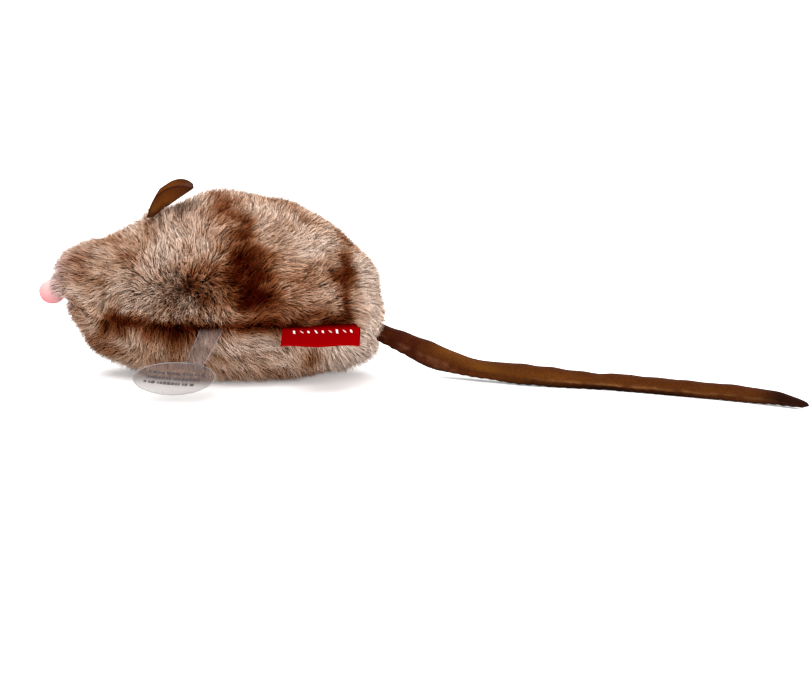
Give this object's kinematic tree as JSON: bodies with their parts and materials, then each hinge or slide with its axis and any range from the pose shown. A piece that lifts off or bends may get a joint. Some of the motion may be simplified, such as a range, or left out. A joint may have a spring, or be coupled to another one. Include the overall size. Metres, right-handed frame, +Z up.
{
  "type": "plush toy mouse",
  "caption": "Long-pile plush mouse with suede ears and tail, a seam label, a clear pull tab and a sewn-in sound module.",
  "frame": {"origin": "on the flat belly face that the toy rests on, below the middle of the body", "axes": "+Z up, -X towards the nose, +X towards the tail, -Y towards the toy's left side with the label and the pull tab"},
  "size_m": [0.2065, 0.0738, 0.0546],
  "materials": {
    "fur": "long mottled brown and beige pile",
    "filling": "white polyester fibre",
    "nose_cloth": "pink velour",
    "suede": "brown brushed suede cloth",
    "label_weave": "red woven ribbon with a satin edge",
    "clear_film": "clear film, slightly milky",
    "pouch_cloth": "thin cotton",
    "case_plastic": "fine satin texture",
    "holder_plastic": "moulded natural plastic",
    "screw_steel": "zinc plated",
    "cell_steel": "nickel plated",
    "contact_brass": "sprung strip",
    "board_green": "solder mask on glass laminate",
    "chip_black": "potting blob",
    "part_ceramic": "matt body with tinned ends",
    "sensor_metal": "drawn can",
    "speaker_metal": "pressed cup",
    "magnet_metal": "sintered magnet",
    "cone_film": "thin stiff film",
    "foam": "closed cell foam",
    "wire_red": "insulated wire",
    "wire_black": "insulated wire"
  },
  "bodies": {
    "mouse": {"coat_side_left": "fur", "coat_side_right": "fur", "coat_belly": "fur", "stuffing": "filling", "nose_cap": "nose_cloth", "ear_root_left": "suede", "ear_root_right": "suede", "tail_root": "suede", "label_root": "label_weave", "module_pouch": "pouch_cloth", "case_bottom": "case_plastic", "case_top": "case_plastic", "case_screw_1": "screw_steel", "case_screw_2": "screw_steel", "case_screw_3": "screw_steel", "case_screw_4": "screw_steel", "cell_holder": "holder_plastic", "cell_1": "cell_steel", "cell_2": "cell_steel", "cell_3": "cell_steel", "contact_plus": "contact_brass", "contact_minus": "contact_brass", "lead_plus": "wire_red", "lead_minus": "wire_black", "circuit_board": "board_green", "sound_chip": "chip_black", "resistor_1": "part_ceramic", "resistor_2": "part_ceramic", "capacitor": "part_ceramic", "sensor_can": "sensor_metal", "sensor_base": "holder_plastic", "speaker_frame": "speaker_metal", "speaker_magnet": "magnet_metal", "speaker_gasket": "foam", "speaker_lead_1": "wire_red", "speaker_lead_2": "wire_black"},
    "ear_left_body": {"ear_left": "suede"},
    "ear_right_body": {"ear_right": "suede"},
    "tail_base_body": {"tail_base": "suede"},
    "tail_mid_body": {"tail_mid": "suede"},
    "tail_tip_body": {"tail_tip": "suede"},
    "label_body": {"label": "label_weave"},
    "pull_tab_body": {"pull_tab": "clear_film"},
    "sensor_ball_body": {"sensor_ball": "sensor_metal"},
    "speaker_cone_body": {"speaker_cone": "cone_film"}
  },
  "joints": [
    {"name": "ear_left_fold", "type": "hinge", "parent": "mouse", "child": "ear_left_body", "pos_m": [-0.0191, -0.0065, 0.0453], "axis": [-0.182, -0.9744, -0.1322], "range_deg": [-5, 60], "stiffness_Nm_per_rad": 0.0004},
    {"name": "ear_right_fold", "type": "hinge", "parent": "mouse", "child": "ear_right_body", "pos_m": [-0.0208, 0.0064, 0.0444], "axis": [0.1865, -0.9744, 0.1258], "range_deg": [-5, 60], "stiffness_Nm_per_rad": 0.0004},
    {"name": "tail_swing", "type": "hinge", "parent": "mouse", "child": "tail_base_body", "pos_m": [0.046, -0.0007, 0.0106], "axis": [0, 0, 1], "range_deg": [-50, 50]},
    {"name": "tail_lift", "type": "hinge", "parent": "tail_base_body", "child": "tail_mid_body", "pos_m": [0.08, -0.0142, 0.003], "axis": [-0.4067, -0.9135, 0], "range_deg": [0, 50]},
    {"name": "tail_curl", "type": "hinge", "parent": "tail_mid_body", "child": "tail_tip_body", "pos_m": [0.118, -0.0275, 0.0023], "axis": [0, 0, 1], "range_deg": [-50, 50]},
    {"name": "label_flap", "type": "hinge", "parent": "mouse", "child": "label_body", "pos_m": [0.0175, -0.0252, 0.0166], "axis": [0.9744, 0.225, 0], "range_deg": [-45, 45], "stiffness_Nm_per_rad": 0.0003},
    {"name": "tab_pull", "type": "slide", "parent": "mouse", "child": "pull_tab_body", "axis": [0, -1, 0], "range_m": [0, 0.036]},
    {"name": "sensor_roll", "type": "slide", "parent": "mouse", "child": "sensor_ball_body", "axis": [0, 1, 0], "range_m": [-0.003, 0.003]},
    {"name": "cone_travel", "type": "slide", "parent": "mouse", "child": "speaker_cone_body", "axis": [0, 0, 1], "range_m": [-0.0003, 0.0003], "stiffness_N_per_m": 5}
  ]
}
